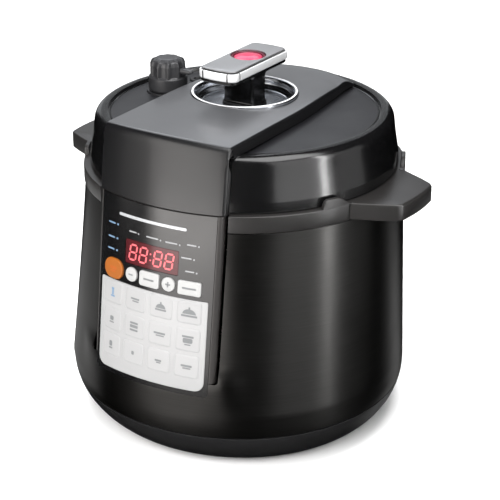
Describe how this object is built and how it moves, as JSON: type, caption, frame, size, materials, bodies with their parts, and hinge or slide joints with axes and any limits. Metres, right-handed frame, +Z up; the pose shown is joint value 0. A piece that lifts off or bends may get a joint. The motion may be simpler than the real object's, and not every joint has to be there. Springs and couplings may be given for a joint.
{
  "type": "electric pressure cooker",
  "caption": "Round countertop pressure cooker with a sloping front control panel, side handles, a removable pot and a twist-off lid with a steam release knob, float valve and centre handle",
  "frame": {"origin": "on the floor under the feet, on the vertical axis of the round body", "axes": "+Z up, the control panel faces -Y, the side handles reach along +X and -X"},
  "size_m": [0.35, 0.3212, 0.33],
  "materials": {
    "dark_steel": "dark wrapped steel skin, softly reflecting",
    "gloss_black": "polished black plastic",
    "satin_black": "satin black moulded plastic",
    "matte_black": "matte black plastic",
    "chrome": "bright plating",
    "silver_paint": "satin silver paint",
    "steel": "stainless steel sheet",
    "cast_aluminium": "bare casting",
    "brass": "bare contact pin",
    "silicone": "translucent white silicone",
    "rubber": "matte black rubber",
    "red": "glossy red plastic",
    "orange": "satin orange plastic",
    "white": "satin white plastic",
    "display_red": "dark red display window",
    "circuit": "green circuit board with its parts",
    "clear_grey": "smoky clear plastic"
  },
  "bodies": {
    "cooker_base": {"base_cover": "satin_black", "rubber_foot_1": "rubber", "rubber_foot_2": "rubber", "rubber_foot_3": "rubber", "rubber_foot_4": "rubber", "base_screw_1": "steel", "base_screw_2": "steel", "base_screw_3": "steel", "body_shell": "dark_steel", "collar_with_side_handles": "satin_black", "control_housing": "gloss_black", "panel_face": "gloss_black", "display_window": "display_red", "display_module": "matte_black", "keypad": "white", "control_board": "circuit", "bayonet_liner": "steel", "heating_plate": "cast_aluminium", "sensor_cage": "steel", "sensor_spring": "steel", "thermal_fuse": "white", "pressure_switch": "matte_black", "power_board": "circuit", "power_inlet": "matte_black", "inlet_pin_1": "brass", "inlet_pin_2": "brass", "inlet_pin_3": "brass", "cup_bracket": "satin_black"},
    "pot": {"inner_pot": "steel"},
    "seal": {"sealing_gasket": "silicone"},
    "lid": {"metal_lid": "steel", "gasket_ring": "steel", "anti_block_guard": "steel", "steam_pipe": "steel", "steam_pipe_nut": "steel", "lid_shell": "gloss_black", "lid_bridge": "gloss_black", "handle_dish": "chrome", "handle_pedestal": "satin_black", "handle_frame": "chrome", "handle_top": "silver_paint", "release_button_ring": "satin_black", "release_button_spring": "steel", "handle_bolt": "steel"},
    "weight": {"valve_weight": "steel"},
    "knob": {"steam_release_knob": "satin_black"},
    "float": {"float_valve": "steel"},
    "lid_button": {"lid_release_button": "red"},
    "sensor": {"temperature_sensor": "cast_aluminium"},
    "start_key": {"start_button": "orange"},
    "minus_key": {"minus_button": "white"},
    "mode_key": {"mode_button": "white"},
    "plus_key": {"plus_button": "white"},
    "cancel_key": {"cancel_button": "white"},
    "drip_cup": {"condensation_cup": "clear_grey"}
  },
  "joints": [
    {"name": "pot_lift", "type": "slide", "parent": "cooker_base", "child": "pot", "axis": [0, 0, 1], "range_m": [0, 0.2]},
    {"name": "lid_lift", "type": "slide", "parent": "pot", "child": "seal", "axis": [0, 0, 1], "range_m": [0, 0.15]},
    {"name": "lid_turn", "type": "hinge", "parent": "seal", "child": "lid", "pos_m": [0, 0, 0.25], "axis": [0, 0, 1], "range_deg": [0, 30]},
    {"name": "valve_lift", "type": "slide", "parent": "lid", "child": "weight", "axis": [0, 0, 1], "range_m": [0, 0.03]},
    {"name": "valve_turn", "type": "hinge", "parent": "weight", "child": "knob", "pos_m": [-0.086, 0.006, 0.3], "axis": [0, 0, 1], "range_deg": [0, 45]},
    {"name": "float_rise", "type": "slide", "parent": "lid", "child": "float", "axis": [0, 0, 1], "range_m": [0, 0.006]},
    {"name": "lid_button_press", "type": "slide", "parent": "lid", "child": "lid_button", "axis": [0, 0, 1], "range_m": [-0.0024, 0], "stiffness_N_per_m": 800, "deforming": ["release_button_spring"]},
    {"name": "sensor_press", "type": "slide", "parent": "cooker_base", "child": "sensor", "axis": [0, 0, 1], "range_m": [-0.003, 0], "stiffness_N_per_m": 600, "deforming": ["sensor_spring"]},
    {"name": "start_press", "type": "slide", "parent": "cooker_base", "child": "start_key", "axis": [0.232, 0.9659, -0.115], "range_m": [0, 0.001], "stiffness_N_per_m": 1000},
    {"name": "minus_press", "type": "slide", "parent": "cooker_base", "child": "minus_key", "axis": [0.1098, 0.987, -0.1175], "range_m": [0, 0.001], "stiffness_N_per_m": 1000},
    {"name": "mode_press", "type": "slide", "parent": "cooker_base", "child": "mode_key", "axis": [-0.0018, 0.993, -0.1182], "range_m": [0, 0.001], "stiffness_N_per_m": 1000},
    {"name": "plus_press", "type": "slide", "parent": "cooker_base", "child": "plus_key", "axis": [-0.1115, 0.9868, -0.1174], "range_m": [0, 0.001], "stiffness_N_per_m": 1000},
    {"name": "cancel_press", "type": "slide", "parent": "cooker_base", "child": "cancel_key", "axis": [-0.2234, 0.9679, -0.1152], "range_m": [0, 0.001], "stiffness_N_per_m": 1000},
    {"name": "cup_slide", "type": "slide", "parent": "cooker_base", "child": "drip_cup", "axis": [0, 0, -1], "range_m": [0, 0.048]}
  ]
}
